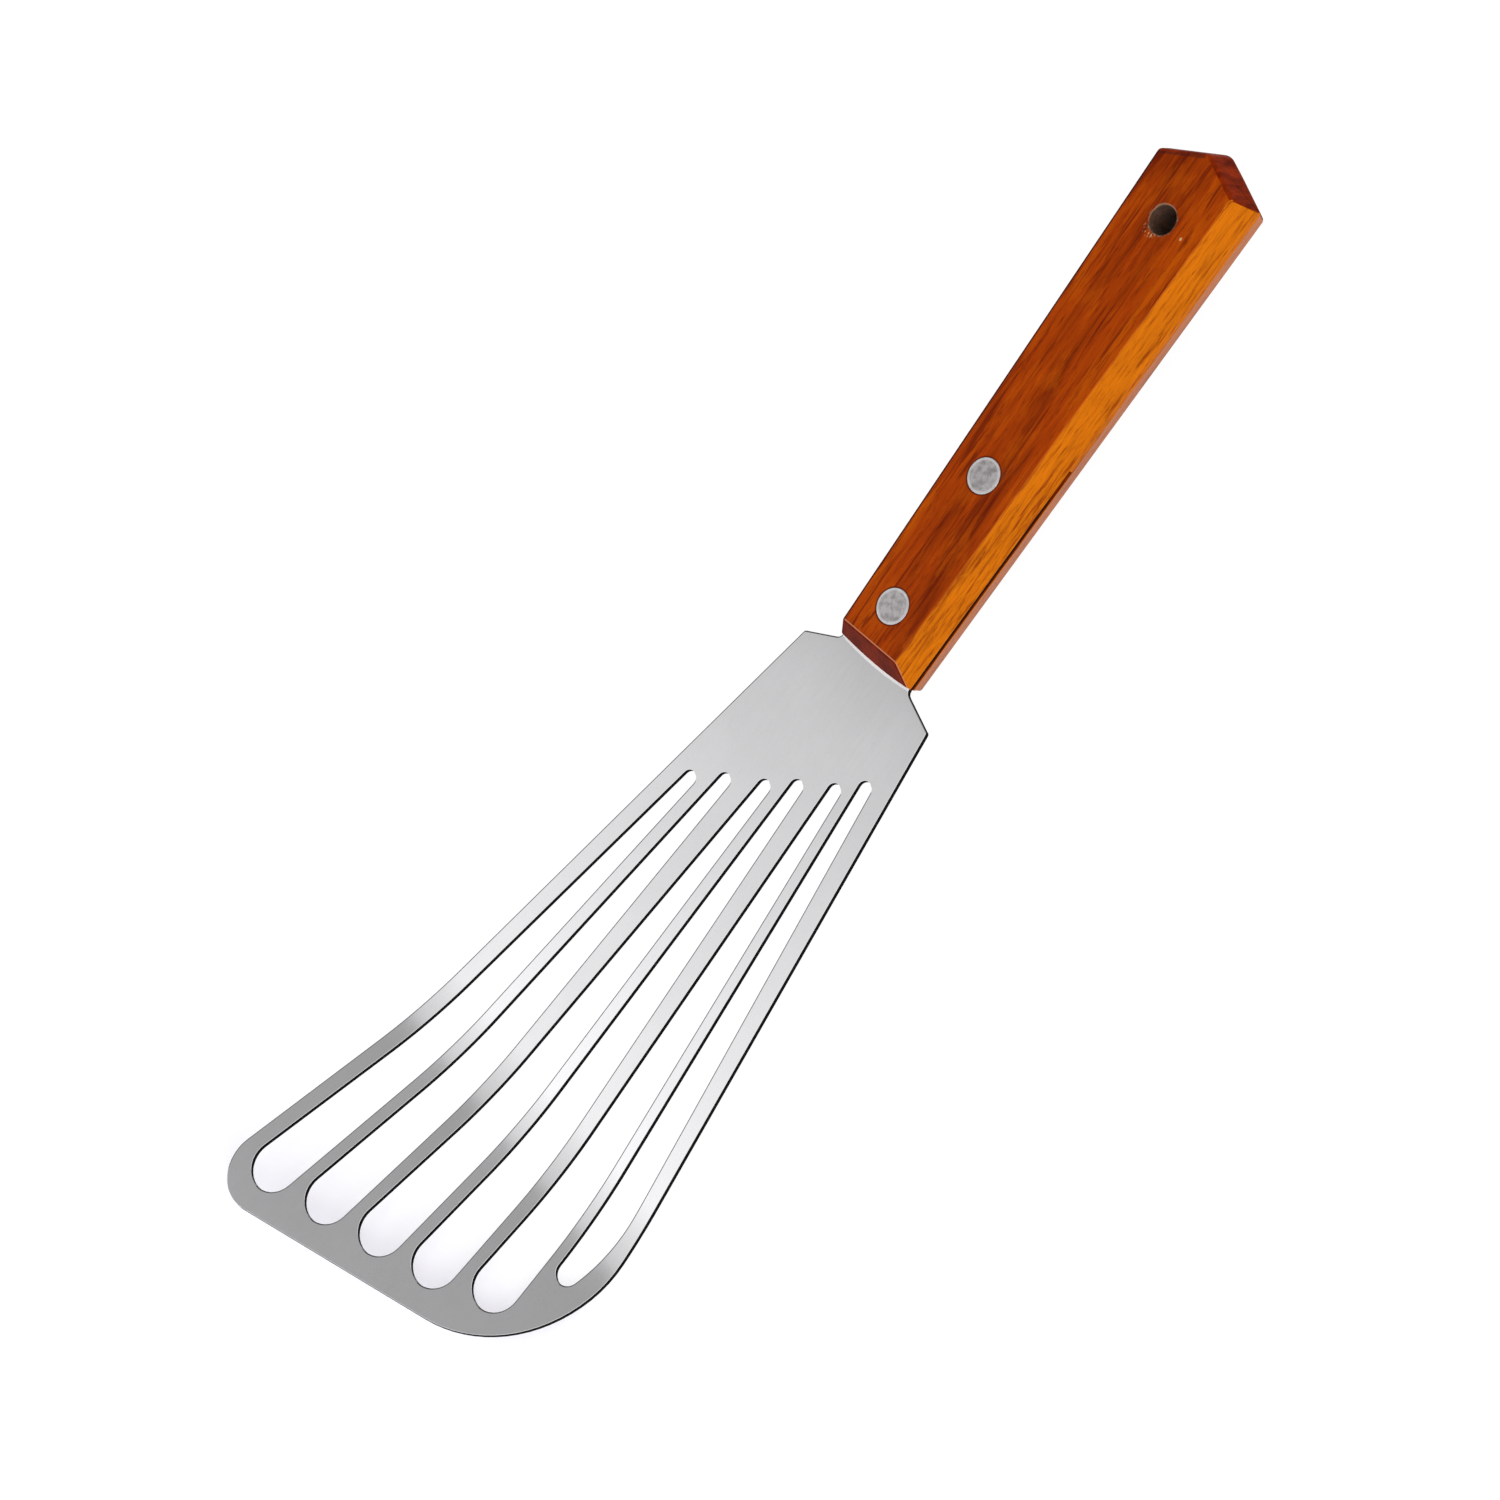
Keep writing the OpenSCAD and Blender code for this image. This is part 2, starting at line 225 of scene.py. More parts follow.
@dataclass(frozen=True)
class CutWallWithPaintedShade:
    """The rough cut wall along the sheet's edges, painted near black for the shade and dark reflection it shows."""

    # painted shade: near black for the cut wall
    colour: tuple[float, float, float] = (0.003, 0.003, 0.003)
    # painted shade: dark brown for cut walls inside the handle, with the wood's reflection
    painted_wood_shade: tuple[float, float, float] = (0.022, 0.006, 0.002)

    def material(self) -> bpy.types.Material:
        """Builds the material."""
        made, n = new_material(Finish.CUT_EDGE.value)
        streak = n.noise(1800, (1, 1, 0.15), 3)
        tone = n.blend(n.spread(streak, 0.35, 0.75), self.colour, tuple(c * 2.2 for c in self.colour))
        where = n.where()
        # painted shade: walls inside the handle turn dark brown, with the wood's reflection
        tone = n.blend(n.spread(where.outputs[0], 0.1125, 0.1105), tone, self.painted_wood_shade)
        shader = n.add("BsdfPrincipled", Base_Color=tone, Roughness=0.6,
                       Normal=n.bump(streak, 0.00001, 0.5))
        shader.inputs["Specular IOR Level"].default_value = 0.03
        n.add("OutputMaterial", Surface=shader.outputs[0])
        return made


@dataclass(frozen=True)
class WoodFinish:
    """Reddish brown hardwood under gloss lacquer.

    Streaks run along the handle. The side faces get a brighter copy of the wood, painted light;
    end cuts are dark, and the hole's wall is dull and painted dark for the shade inside it.
    """

    face: tuple[float, float, float] = (0.37, 0.045, 0.001)
    face_dark: tuple[float, float, float] = (0.13, 0.010, 0.001)
    face_light: tuple[float, float, float] = (0.48, 0.080, 0.001)
    # painted light: brighter, more orange wood colour for the side faces
    side: tuple[float, float, float] = (0.70, 0.175, 0.002)
    side_dark: tuple[float, float, float] = (0.30, 0.050, 0.001)
    end: tuple[float, float, float] = (0.11, 0.008, 0.001)
    end_light: tuple[float, float, float] = (0.29, 0.026, 0.002)
    # painted shade: dark grey-brown for the hang hole's wall
    hole: tuple[float, float, float] = (0.060, 0.036, 0.026)
    rim: tuple[float, float, float] = (0.20, 0.13, 0.085)
    splinter: tuple[float, float, float] = (0.60, 0.36, 0.18)
    # painted highlight: light pinkish tone for rounded edges
    painted_arris_highlight: tuple[float, float, float] = (0.52, 0.22, 0.12)
    # painted shade: near black for faces turned to the far side
    painted_far_shade_tone: tuple[float, float, float] = (0.035, 0.010, 0.012)

    def material(self) -> bpy.types.Material:
        """Builds the material."""
        made, n = new_material(Finish.LACQUERED_WOOD.value)
        where = n.where()
        facing = n.facing()
        broad = n.noise(150, (0.10, 1, 0.7), 3, 0.5, 0.5)
        band = n.noise(520, (0.07, 1, 0.6), 5, 0.65, 0.4)
        fine = n.noise(2200, (0.09, 1, 1), 4, 0.65)
        pores = n.noise(3200, (0.10, 1, 1), 3, 0.6)
        slant = n.noise(1300, (0.09, 1, 1), 4, 0.65, 0.3, (0, math.radians(10), math.radians(9)))
        face = n.ramp(n.math("ADD", n.times(broad, 0.55), n.times(band, 0.45)),
                      (0.36, self.face_dark), (0.46, tuple(c * 0.78 for c in self.face)),
                      (0.54, self.face), (0.66, self.face_light))
        vein = n.noise(620, (0.055, 1, 0.8), 4, 0.6, 0.7, (0, 0, math.radians(2.5)))
        glow = n.noise(240, (0.35, 1, 1), 4, 0.6)
        face = n.blend(n.times(n.spread(glow, 0.48, 0.66), 0.5), face, self.face_light)
        face = n.blend(n.times(n.spread(vein, 0.54, 0.66), 0.75), face, self.face_dark)
        face = n.blend(n.times(n.spread(fine, 0.50, 0.70), 0.6), face, self.face_dark)
        side = n.ramp(n.math("ADD", n.times(broad, 0.35), n.times(slant, 0.65)),
                      (0.37, self.side_dark), (0.47, tuple(c * 0.84 for c in self.side)), (0.58, self.side))
        side = n.blend(n.times(n.spread(fine, 0.52, 0.72), 0.6), side, self.side_dark)
        end = n.ramp(n.noise(420, (0.4, 1, 0.25), 4, 0.65), (0.38, self.end), (0.62, self.end_light))
        # painted light: side faces take the brighter side colour, with slanted grain streaks
        lit_side_share = n.spread(n.math("ABSOLUTE", facing.outputs[1]), 0.35, 0.8)
        end_share = n.spread(n.math("ABSOLUTE", facing.outputs[0]), 0.3, 0.5)
        tone = n.blend(lit_side_share, face, side)
        tone = n.blend(end_share, tone, end)
        # painted shade: faces turned forward, such as the front bevel, are darkened towards the end-grain colour
        tone = n.blend(n.times(n.spread(facing.outputs[0], 0.35, 0.6), 0.6), tone, self.end)
        # painted highlight: a light pinkish tone where rounded edges turn partly forward
        painted_arris_highlight = n.times(n.spread(facing.outputs[0], 0.06, 0.15), n.spread(facing.outputs[0], 0.42, 0.3))
        tone = n.blend(n.times(painted_arris_highlight, 0.8), tone, self.painted_arris_highlight)
        # painted shade: faces turned partly to -Y are coloured near black
        painted_far_side_shade = n.times(n.spread(facing.outputs[1], -0.05, -0.16), n.spread(facing.outputs[1], -0.70, -0.58))
        painted_far_side_shade = n.times(painted_far_side_shade, n.spread(n.math("ABSOLUTE", facing.outputs[0]), 0.4, 0.25))
        tone = n.blend(n.times(painted_far_side_shade, 0.9), tone, self.painted_far_shade_tone)
        # painted shade: faces turned down are darkened towards the dark side colour
        under = n.spread(facing.outputs[2], -0.1, -0.3)
        tone = n.blend(n.times(under, 0.35), tone, self.side_dark)
        tone = n.blend(n.times(n.spread(pores, 0.60, 0.72), 0.5), tone, self.end)
        for x in RIVET_X:
            ring = n.around(where, x * MM)
            shade = n.times(n.spread(ring, 0.0045, 0.0041), 0.85)
            tone = n.blend(shade, tone, self.end)
        ragged = n.times(n.math("SUBTRACT", n.noise(900, detail=4, rough=0.7), 0.5), 0.0022)
        away = n.math("ADD", n.around(where, 0.0), ragged)
        tone = n.blend(n.times(n.spread(away, 0.0037, 0.0032), 0.8), tone, self.rim)
        # painted shade: the hang hole's wall is coloured dark grey-brown, with random lighter patches
        inner = n.spread(n.around(where, 0.0), 0.0033, 0.00315)
        walls = n.ramp(n.noise(700, detail=4, rough=0.65), (0.35, self.hole), (0.68, tuple(c * 2.2 for c in self.hole)))
        tone = n.blend(inner, tone, walls)
        torn = n.times(n.spread(n.around(where, 0.0030, -0.0011, 1.1), 0.0022, 0.0013),
                      n.spread(n.noise(2600, (0.4, 1, 1), 2, 0.5), 0.52, 0.60))
        chip = n.spread(n.around(where, 0.0010, 0.0064, 0.7), 0.00036, 0.00018)
        pale = n.times(n.math("ADD", torn, chip, True), n.math("SUBTRACT", 1.0, inner))
        tone = n.blend(pale, tone, self.splinter)
        dull = n.math("ADD", inner, pale, True)
        rough = n.math("ADD", 0.28, n.times(n.math("ADD", dull, n.times(end_share, 0.25)), 0.5))
        shader = n.add("BsdfPrincipled", Base_Color=tone, Roughness=rough,
                       Normal=n.bump(pores, 0.00003, 0.6, n.bump(band, 0.00005, 0.3)))
        shader.inputs["IOR"].default_value = 1.12
        # no gloss on faces turned down, on end grain and on the painted far-side shade
        unglossed = n.math("ADD", n.times(under, 0.5), n.times(end_share, 0.75))
        unglossed = n.math("ADD", unglossed, painted_far_side_shade, True)
        n.set(shader, "Specular IOR Level", n.times(n.math("SUBTRACT", 1.0, unglossed), 0.5))
        n.add("OutputMaterial", Surface=shader.outputs[0])
        return made


@dataclass(frozen=True)
class RivetFinish:
    """Rivet heads ground flush: light grey, mottled, with faint warm specks."""

    colour: tuple[float, float, float] = (0.56, 0.53, 0.53)
    speck: tuple[float, float, float] = (0.34, 0.25, 0.20)
    # painted highlight: light grey for a ring at each rivet head's edge
    rim: tuple[float, float, float] = (0.85, 0.84, 0.85)

    def material(self) -> bpy.types.Material:
        """Builds the material."""
        made, n = new_material(Finish.RIVET_STEEL.value)
        mottle = n.noise(700, detail=4)
        speck = n.noise(1600, detail=2)
        scratch = n.noise(1500, (0.05, 1, 1), 3, turn=(0, 0, 0.5))
        tone = n.ramp(mottle, (0.36, tuple(c * 0.62 for c in self.colour)), (0.56, self.colour))
        tone = n.blend(n.times(n.spread(speck, 0.58, 0.70), 0.6), tone, self.speck)
        where = n.where()
        for x in RIVET_X:
            reach = n.around(where, x * MM)
            # painted highlight: a light ring at each rivet head's edge
            rim = n.times(n.spread(reach, 0.0032, 0.0036), n.spread(reach, 0.0041, 0.0038))
            tone = n.blend(n.times(rim, 0.6), tone, self.rim)
        shader = n.add("BsdfPrincipled", Base_Color=tone, Metallic=0.85,
                       Roughness=n.math("ADD", 0.32, n.times(mottle, 0.16)),
                       Normal=n.bump(scratch, 0.00001, 0.4, n.bump(mottle, 0.00003, 0.4)))
        n.add("OutputMaterial", Surface=shader.outputs[0])
        return made


def heading(v: np.ndarray) -> float:
    """The direction of a plane vector, in degrees."""
    return math.degrees(math.atan2(v[1], v[0]))


def way(angle: float) -> np.ndarray:
    """The unit vector in a direction, in degrees."""
    return np.array([math.cos(math.radians(angle)), math.sin(math.radians(angle))])


def arc(centre: np.ndarray, radius: float, start: float, end: float, steps: int) -> np.ndarray:
    """Points round a centre: centre + radius times the unit vector, from start to end degrees."""
    angle = np.radians(np.linspace(start, end, steps + 1))
    return centre + radius * np.stack([np.cos(angle), np.sin(angle)], axis=1)


def meet(p: np.ndarray, u: np.ndarray, q: np.ndarray, v: np.ndarray) -> np.ndarray:
    """Where the line through p along u meets the line through q along v."""
    side = np.array([-v[1], v[0]])
    return p + u * float((q - p) @ side) / float(u @ side)


def rounded(corners: list[tuple[np.ndarray, float]], steps: int) -> np.ndarray:
    """An outline whose corners are arcs that touch both of their sides.

    Args:
        corners: each corner with its radius, in order.
        steps: steps along each arc.

    Returns:
        The outline's points, one row each.
    """
    parts = []
    for i, (corner, radius) in enumerate(corners):
        before = corners[i - 1][0] - corner
        after = corners[(i + 1) % len(corners)][0] - corner
        before, after = before / np.linalg.norm(before), after / np.linalg.norm(after)
        half = math.acos(float(before @ after)) / 2
        middle = (before + after) / np.linalg.norm(before + after)
        centre = corner + middle * radius / math.sin(half)
        start = heading(corner + before * radius / math.tan(half) - centre)
        end = heading(corner + after * radius / math.tan(half) - centre)
        turn = (end - start + 180) % 360 - 180
        parts.append(arc(centre, radius, start, start + turn, steps))
    return np.concatenate(parts)


def inside(places: np.ndarray, points: np.ndarray, edges: np.ndarray) -> np.ndarray:
    """Tells which places lie in the steel: a ray from there crosses the loops an odd number of times.

    Args:
        places: places to test, one row each.
        points: the points of all the loops.
        edges: pairs of point numbers.

    Returns:
        True for each place inside the outline and outside its holes.
    """
    a, b = points[edges[:, 0]], points[edges[:, 1]]
    x, y = places[:, :1], places[:, 1:]
    spans = (a[:, 1] > y) != (b[:, 1] > y)
    rise = np.where(b[:, 1] == a[:, 1], 1.0, b[:, 1] - a[:, 1])
    cross = a[:, 0] + (y - a[:, 1]) / rise * (b[:, 0] - a[:, 0])
    return (spans & (cross > x)).sum(axis=1) % 2 == 1


@dataclass
class Blade:
    """The slotted sheet, drawn flat and bent up at the front. Sizes in mm and degrees."""

    sheet: float = 1.0
    bend_angle: float = 14.0
    bend_radius: float = 100.0
    bend_x: float = 227.6
    bend_slant: float = 5.6
    steps: int = 20
    bend_steps: int = 28
    rear_radius: float = 1.75
    front_radius: float = 6.0
    edge_round: float = 0.07
    rolled_round: float = 0.30
    rolled_fall: float = 0.4
    wall_lean: float = 0.15
    front_x: float = 284.5
    front_slant: float = 12.9
    long_side: float = -12.4
    short_side: float = 6.4
    front_band: float = 11.8
    side_band: float = 5.2
    # painted sheen by bar: how much lighter each bar is painted near the bend
    bar_painted_sheen: tuple[float, ...] = (0.15, 0.5, 0.0, 0.68, 0.15, 0.55, 0.3)
    outline: list[tuple[float, float, float]] = field(default_factory=lambda: [
        (59.4, -11.96, 2.0), (111.2, -10.93, 1.5), (115.1, -19.5, 0.8), (0, 0, 9.6),
        (0, 0, 35.4), (115.1, 20.7, 0.8), (111.2, 10.93, 1.5), (59.4, 11.96, 2.0)])

    def corners(self) -> list[tuple[np.ndarray, float]]:
        """The flat outline's corners and radii, with the tips where sides and front edge meet."""
        points = [(np.array(p[:2]), p[2]) for p in self.outline]
        front, along = np.array([self.front_x, 0.0]), way(90 + self.front_slant)
        points[3] = (meet(points[2][0], way(self.long_side), front, along), points[3][1])
        points[4] = (meet(points[5][0], way(self.short_side), front, along), points[4][1])
        return points

    def front_y(self, i: int) -> float:
        """How far to the side the slot i ends in front."""
        return -46.2 + i * (16 - 0.12 * i)

    def slot(self, i: int) -> np.ndarray:
        """The outline of a tapered slot: two round ends and the lines that touch both."""
        rear = self.rear(i)
        y, slant = self.front_y(i), math.radians(self.front_slant)
        edge = self.front_x - y * math.tan(slant) - self.front_band / math.cos(slant)
        tip, tip_radius = self.corners()[4]
        half = (90 + self.front_slant - self.short_side) / 2
        corner = tip + way(self.short_side + 180 + half) * tip_radius / math.sin(math.radians(half))
        side, reach = y - corner[1], tip_radius - self.side_band - self.front_radius
        round_edge = corner[0] + math.sqrt(max(0.0, reach * reach - side * side))
        front = np.array([min(edge, round_edge) if side > 0 else edge, y])
        angle = heading(front - rear)
        lean = 90 + math.degrees(math.asin((self.front_radius - self.rear_radius) / np.linalg.norm(front - rear)))
        return np.concatenate([arc(rear, self.rear_radius, angle + lean, angle + 360 - lean, self.steps),
                               arc(front, self.front_radius, angle - lean, angle + lean, self.steps)])

    def rear(self, i: int) -> np.ndarray:
        """The rear centre of the slot i, on one of two staggered lines."""
        return np.array([156.2 - 4.7 * i, -22.8 + i * (9.0 - 0.23 * i) + (0.5 if i % 2 == 0 else -0.5)])

    def last_slot(self) -> np.ndarray:
        """The last slot: straight sides, the outer one bowing in to a small round end."""
        rear, inner, outer, bow, end_r = self.rear(5), way(4.5), way(7.1), 54.0, 3.0
        start = rear + self.rear_radius * np.array([-outer[1], outer[0]])
        start = start + outer * (235.8 - start[0]) / outer[0]
        centre = start - bow * np.array([-outer[1], outer[0]])
        normal = np.array([-inner[1], inner[0]])
        line = rear + (end_r - self.rear_radius) * normal
        off = float((centre - line) @ normal)
        end = centre - off * normal + inner * math.sqrt((bow - end_r) ** 2 - off * off)
        last = heading(end - centre)
        return np.concatenate([arc(rear, self.rear_radius, 97.1, 274.5, self.steps),
                               arc(end, end_r, 4.5 - 90, last, self.steps),
                               arc(centre, bow, last, 97.1, self.steps)])

    def fold(self, flat: np.ndarray, height: float | np.ndarray) -> np.ndarray:
        """Lays flat points on the bent sheet, at a height within its thickness.

        Past the bend's start a point turns about the bend's axis by its
        distance over the radius, and past the bend's end it runs straight on.
        """
        across = way(-self.bend_slant)
        distance = (flat - np.array([self.bend_x, 0.0])) @ across
        length = self.bend_radius * math.radians(self.bend_angle)
        angle = np.clip(distance, 0, length) / self.bend_radius
        rest = np.maximum(distance - length, 0)
        before = np.minimum(distance, 0)
        ahead = before + (self.bend_radius - height) * np.sin(angle) + rest * np.cos(angle)
        up = self.bend_radius - (self.bend_radius - height) * np.cos(angle) + rest * np.sin(angle)
        level = flat + np.outer(ahead - distance, across)
        return np.column_stack([level, up])

    def flat_mesh(self) -> tuple[np.ndarray, np.ndarray]:
        """The flat sheet as triangles, cut across at each step of the bend."""
        loops = [rounded(self.corners(), self.steps)] + [self.slot(i) for i in range(5)] + [self.last_slot()]
        for x in RIVET_X:
            loops.append(arc(np.array([x, 0.0]), RIVET_HOLE_RADIUS, 0, 360, 48)[:-1])
        loops = [self.drawn_in(loop, k > 0) for k, loop in enumerate(loops)]
        starts = np.cumsum([0] + [len(p) for p in loops])
        edges = np.concatenate([np.column_stack([np.arange(len(p)), (np.arange(len(p)) + 1) % len(p)]) + s
                                for p, s in zip(loops, starts)])
        points = np.concatenate(loops)
        result = delaunay_2d_cdt([Vector(p) for p in points], edges.tolist(), [], 0, 1e-7)
        shape = bmesh.new()
        made = [shape.verts.new((p[0], p[1], 0)) for p in result[0]]
        spread, faces = np.array(result[0]), np.array(result[2])
        for face in faces[inside(spread[faces].mean(axis=1), points, edges)]:
            shape.faces.new([made[k] for k in face])
        length = self.bend_radius * math.radians(self.bend_angle)
        across = way(-self.bend_slant)
        for k in range(self.bend_steps + 1):
            on = np.array([self.bend_x, 0.0]) + across * length * k / self.bend_steps
            bmesh.ops.bisect_plane(shape, geom=[*shape.verts, *shape.edges, *shape.faces], dist=1e-5,
                                   plane_co=(on[0], on[1], 0), plane_no=(across[0], across[1], 0))
        bmesh.ops.triangulate(shape, faces=shape.faces[:])
        bmesh.ops.recalc_face_normals(shape, faces=shape.faces[:])
        held = bpy.data.meshes.new("flat")
        shape.to_mesh(held)
        shape.free()
        flat = np.empty(len(held.vertices) * 3)
        held.vertices.foreach_get("co", flat)
        triangles = np.empty(len(held.polygons) * 3, dtype=np.int32)
        held.polygons.foreach_get("vertices", triangles)
        bpy.data.meshes.remove(held)
        flat, triangles = flat.reshape(-1, 3)[:, :2], triangles.reshape(-1, 3)
        a, b, c = (flat[triangles[:, k]] for k in range(3))
        area = (b[:, 0] - a[:, 0]) * (c[:, 1] - a[:, 1]) - (b[:, 1] - a[:, 1]) * (c[:, 0] - a[:, 0])
        triangles[area < 0] = triangles[area < 0][:, ::-1]
        return flat, triangles

    def painted_sheen(self, flat: np.ndarray) -> np.ndarray:
        """How much painted sheen each flat point gets: a share by bar, fading out at the bars' ends.

        A bar's number is the count of slot centre lines that a point lies past.
        """
        number = np.zeros(len(flat), dtype=int)
        for i in range(6):
            rear = self.rear(i)
            slope = (self.front_y(i) - rear[1]) / (272.0 - 2.9 * i - rear[0])
            number += flat[:, 1] > rear[1] + slope * (flat[:, 0] - rear[0])
        along = np.clip((flat[:, 0] - 160.0) / 60.0, 0, 1) * np.clip((258.0 - flat[:, 0]) / 20.0, 0, 1)
        return np.array(self.bar_painted_sheen)[number] * along

    def rim_width(self, outward: np.ndarray) -> np.ndarray:
        """How far an upper edge is rolled over, by the way it faces: most towards the far rear."""
        share = np.clip(outward @ way(-120) * 1.6, 0, 1)
        return (self.edge_round + (self.rolled_round - self.edge_round) * share)[:, None]

    def foot(self, outward: np.ndarray) -> np.ndarray:
        """How far a cut wall's foot stands out from its top, by the way it faces: most on the +Y side."""
        return (self.wall_lean * np.clip(outward @ way(60) * 1.6, 0, 1))[:, None]

    def drawn_in(self, loop: np.ndarray, hole: bool) -> np.ndarray:
        """A loop of the outline, moved into the steel by the width of its rolled edge."""
        after = np.roll(loop, -1, axis=0) - loop
        loop = loop[np.linalg.norm(after, axis=1) > 1e-6]
        after = np.roll(loop, -1, axis=0) - loop
        side = np.column_stack([after[:, 1], -after[:, 0]]) / np.linalg.norm(after, axis=1)[:, None]
        outward = side + np.roll(side, 1, axis=0)
        outward /= np.linalg.norm(outward, axis=1)[:, None]
        turn = float((loop[:, 0] * np.roll(loop[:, 1], -1) - loop[:, 1] * np.roll(loop[:, 0], -1)).sum())
        outward *= np.sign(turn) * (-1 if hole else 1)
        return loop - outward * (self.rim_width(outward) + self.foot(outward))

    def build(self) -> bpy.types.Object:
        """Makes the blade: upper face, rolled edge, cut wall and lower face."""
        flat, triangles = self.flat_mesh()
        count = len(flat)
        sides = np.concatenate([triangles[:, [0, 1]], triangles[:, [1, 2]], triangles[:, [2, 0]]])
        key = np.sort(sides, axis=1) @ np.array([count, 1])
        _, first, uses = np.unique(key, return_index=True, return_counts=True)
        rim = sides[first[uses == 1]]
        along = flat[rim[:, 1]] - flat[rim[:, 0]]
        side = np.column_stack([along[:, 1], -along[:, 0]]) / np.linalg.norm(along, axis=1)[:, None]
        outward = np.zeros_like(flat)
        np.add.at(outward, rim[:, 0], side)
        np.add.at(outward, rim[:, 1], side)
        outward /= np.maximum(np.linalg.norm(outward, axis=1), 1e-9)[:, None]
        edge = flat + outward * self.rim_width(outward)
        wide = edge + outward * self.foot(outward)
        held = np.unique(rim)
        ring = np.zeros(count, dtype=np.int64)
        ring[held] = 2 * count + np.arange(len(held))
        level = self.sheet / 2 - self.rolled_fall * self.rim_width(outward[held])[:, 0]
        points = np.concatenate([self.fold(flat, self.sheet / 2), self.fold(wide, -self.sheet / 2),
                                 self.fold(edge[held], level)]) * MM
        a, b = rim[:, 0], rim[:, 1]
        rolls = np.column_stack([b, a, ring[a], ring[b]])
        walls = np.column_stack([ring[b], ring[a], a + count, b + count])
        mesh = bpy.data.meshes.new("blade_sheet")
        mesh.from_pydata(points.tolist(), [], triangles.tolist() + (triangles[:, ::-1] + count).tolist()
                         + rolls.tolist() + walls.tolist())
        mesh.validate()
        mesh.update()
        mesh.materials.append(SteelFinish().material())
        mesh.materials.append(CutWallWithPaintedShade().material())
        slots = np.zeros(len(mesh.polygons), dtype=np.int32)
        slots[-len(walls):] = 1
        mesh.polygons.foreach_set("material_index", slots)
        mesh.polygons.foreach_set("use_smooth", np.ones(len(mesh.polygons), dtype=bool))
        mesh.set_sharp_from_angle(angle=math.radians(12))
        # painted sheen: each point's share of the lighter steel tone
        painted_sheen = mesh.attributes.new("painted_sheen", "FLOAT", "POINT")
        painted_sheen.data.foreach_set("value", self.painted_sheen(np.concatenate([flat, wide, edge[held]])))
        piece = bpy.data.objects.new("slotted_blade", mesh)
        bpy.context.collection.objects.link(piece)
        stand_for(piece, "blade")
        return piece


def soften(piece: bpy.types.Object, width: float, steps: int, angle: float) -> None:
    """Rounds a piece's edges over a width in mm, where they turn by more than an angle."""
    edges = piece.modifiers.new("edges", "BEVEL")
    edges.width = width * MM
    edges.segments = steps
    edges.limit_method = "ANGLE"
    edges.angle_limit = math.radians(angle)
    edges.harden_normals = True
    edges.use_clamp_overlap = True


def stand_for(piece: bpy.types.Object, node: str) -> None:
    """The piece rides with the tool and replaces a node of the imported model."""
    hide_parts(node)
    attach(piece, "root")
    LOG.info("%s stands for %s", piece.name, node)


def merged_copy(node: str, name: str) -> bpy.types.Object:
    """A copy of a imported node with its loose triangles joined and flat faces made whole.

    Args:
        node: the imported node's name.
        name: the name of the copy.

    Returns:
        The new object, smooth shaded with sharp edges.
    """
    shape = bmesh.new()
    shape.from_mesh(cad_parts[node].data)
    bmesh.ops.remove_doubles(shape, verts=shape.verts[:], dist=1e-6)
    bmesh.ops.dissolve_limit(shape, angle_limit=math.radians(0.4), verts=shape.verts[:], edges=shape.edges[:])
    mesh = bpy.data.meshes.new(name)
    shape.to_mesh(mesh)
    shape.free()
    mesh.materials.clear()
    mesh.polygons.foreach_set("use_smooth", np.ones(len(mesh.polygons), dtype=bool))
    mesh.set_sharp_from_angle(angle=math.radians(12))
    piece = bpy.data.objects.new(name, mesh)
    bpy.context.collection.objects.link(piece)
    return piece


@dataclass
class Handle:
    """The wooden handle. Sizes in mm: how far each kind of edge is rounded."""

    outer_round: float = 0.5
    rear_round: float = 1.1
    side_round: float = 0.55
    ridge_round: float = 0.25
    rivet_round: float = 0.10
    hole_round: float = 0.35
    hang_radius: float = 3.2
    rivet_reach: float = 4.2
    rear_x: float = -5.0
    front_x: float = 106.0

    def build(self) -> bpy.types.Object:
        """Makes the handle, with its edges rounded by what they border."""
        piece = merged_copy("handle", "wooden_handle")
        mesh = piece.data
        ends = np.empty(len(mesh.edges) * 2, dtype=np.int32)
        mesh.edges.foreach_get("vertices", ends)
        points = np.empty(len(mesh.vertices) * 3)
        mesh.vertices.foreach_get("co", points)
        points = points.reshape(-1, 3) / MM
        middle = points[ends.reshape(-1, 2)].mean(axis=1)
        width = np.full(len(middle), self.outer_round)
        width[middle[:, 0] < self.rear_x] = self.rear_round
        level = np.abs(middle[:, 2])
        width[(level < 1.0) & (middle[:, 0] > self.rear_x)] = 0.0
        width[(level < 2.5) & (middle[:, 0] > self.front_x)] = 0.0
        rear, aside = middle[:, 0] < -5, np.abs(middle[:, 1])
        first, last = points[ends.reshape(-1, 2)].transpose(1, 0, 2)
        width[rear & (level < 6.0) & (aside > 8.0)] = self.side_round
        width[rear & (level < 0.1)] = self.ridge_round
        width[rear & (np.linalg.norm(last - first, axis=1) < 1.2)] = 0.0
        width[rear & (level > 7.4) & (aside < 1.0)] = 0.0
        from_hole = np.hypot(middle[:, 0], middle[:, 1])
        width[from_hole < self.hang_radius + 0.1] = self.hole_round
        for x in RIVET_X:
            width[np.hypot(middle[:, 0] - x, middle[:, 1]) < self.rivet_reach] = self.rivet_round
        sharp = np.zeros(len(mesh.edges), dtype=bool)
        mesh.attributes["sharp_edge"].data.foreach_get("value", sharp)
        weight = mesh.attributes.new("bevel_weight_edge", "FLOAT", "EDGE")
        weight.data.foreach_set("value", np.where(sharp, width / self.rear_round, 0.0))
        soften(piece, self.rear_round, 3, 30)
        piece.modifiers["edges"].limit_method = "WEIGHT"
        piece.modifiers["edges"].use_clamp_overlap = False
        mesh.materials.append(WoodFinish().material())
        stand_for(piece, "handle")
        return piece


